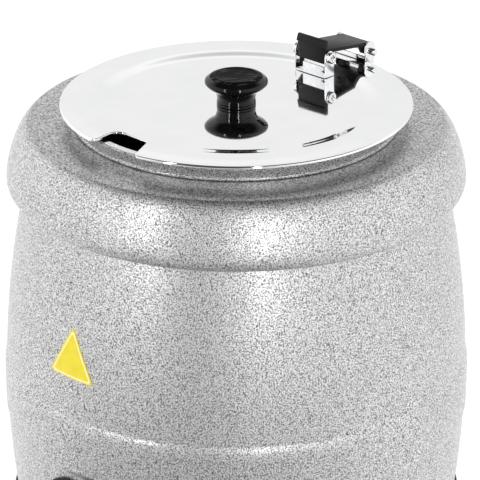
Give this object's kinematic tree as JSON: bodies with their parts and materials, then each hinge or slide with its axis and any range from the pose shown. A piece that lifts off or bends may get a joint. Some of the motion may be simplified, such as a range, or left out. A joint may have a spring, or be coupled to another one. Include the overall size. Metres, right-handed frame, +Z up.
{
  "type": "soup kettle",
  "caption": "Free-standing electric soup kettle: hammered barrel body, shoulder ring, lift-out pot and a polished lid on a lever hinge.",
  "frame": {"origin": "on the table, under the middle of the body; the knob in front and the cord gland behind reach equally far", "axes": "+Z up, -Y towards the front with the control knob and the ladle notch, +Y towards the lid hinge"},
  "size_m": [0.3398, 0.3768, 0.3589],
  "materials": {
    "hammered": "hammered silver paint, semi-gloss",
    "stainless": "polished stainless steel",
    "chrome": "bright chrome",
    "zinc": "zinc plated steel",
    "element": "heat-darkened steel sheath",
    "aluminium": "plain milled aluminium",
    "copper": "drawn copper",
    "black_plastic": "satin black moulding",
    "black_gloss": "glossy black phenolic",
    "rubber": "matt black rubber",
    "yellow_label": "printed film, plain yellow",
    "lamp_amber": "translucent amber lens",
    "nylon": "natural nylon",
    "wire_brown": "PVC insulation",
    "wire_red": "silicone insulation",
    "wire_blue": "PVC insulation",
    "wire_green": "PVC insulation"
  },
  "bodies": {
    "root": {"body_shell": "hammered", "top_ring": "hammered", "water_well": "stainless", "ring_post_1": "zinc", "ring_post_2": "zinc", "ring_post_3": "zinc", "well_stay_1": "zinc", "well_stay_2": "zinc", "well_stay_3": "zinc", "foot_screw_1": "zinc", "foot_screw_2": "zinc", "foot_screw_3": "zinc", "foot_screw_4": "zinc", "base_plate": "zinc", "element_clamp": "zinc", "clamp_stud": "zinc", "clamp_nut": "zinc", "bezel_screw_1": "zinc", "bezel_screw_2": "zinc", "heating_element": "element", "heat_spreader": "aluminium", "thermostat_bulb": "copper", "capillary_tube": "copper", "base_ring": "black_plastic", "control_bezel": "black_plastic", "cord_gland": "black_plastic", "foot_1": "rubber", "foot_2": "rubber", "foot_3": "rubber", "foot_4": "rubber", "label_triangle": "yellow_label", "pilot_lamp": "lamp_amber", "thermal_cutout": "nylon", "thermostat_body": "nylon", "lamp_holder": "nylon", "terminal_block": "nylon", "gland_nut": "nylon", "wire_live": "wire_brown", "wire_heater": "wire_red", "wire_neutral": "wire_blue", "wire_earth": "wire_green"},
    "pot": {"inner_pot": "stainless"},
    "lid_ring": {"lid_ring": "hammered", "lid_seat": "stainless", "rim_bracket": "chrome", "rim_rivet_1": "zinc", "rim_rivet_2": "zinc", "rear_pin": "chrome", "rear_pin_nut": "chrome"},
    "lever": {"hinge_lever": "black_plastic"},
    "lid": {"lid": "stainless", "lid_knob": "black_gloss", "knob_screw": "zinc", "lid_bracket": "chrome", "lid_rivet_1": "zinc", "lid_rivet_2": "zinc", "front_pin": "chrome", "front_pin_nut": "chrome"},
    "dial": {"control_knob": "black_plastic", "thermostat_shaft": "aluminium"}
  },
  "joints": [
    {"name": "pot_lift", "type": "slide", "parent": "root", "child": "pot", "axis": [0, 0, 1], "range_m": [0, 0.28]},
    {"name": "lid_ring_lift", "type": "slide", "parent": "pot", "child": "lid_ring", "axis": [0, 0, 1], "range_m": [0, 0.08]},
    {"name": "lid_hinge", "type": "hinge", "parent": "lid_ring", "child": "lever", "pos_m": [0, 0.1275, 0.3392], "axis": [-1, 0, 0], "range_deg": [0, 90]},
    {"name": "lid_swing", "type": "hinge", "parent": "lever", "child": "lid", "pos_m": [0, 0.0825, 0.346], "axis": [-1, 0, 0], "range_deg": [0, 10.8]},
    {"name": "dial_turn", "type": "hinge", "parent": "root", "child": "dial", "pos_m": [0, -0.18, 0.062], "axis": [0, 1, 0], "range_deg": [0, 290]}
  ],
  "couplings": [
    {"joint": "lid_swing", "follows": "lid_hinge", "ratio": 0.12}
  ]
}
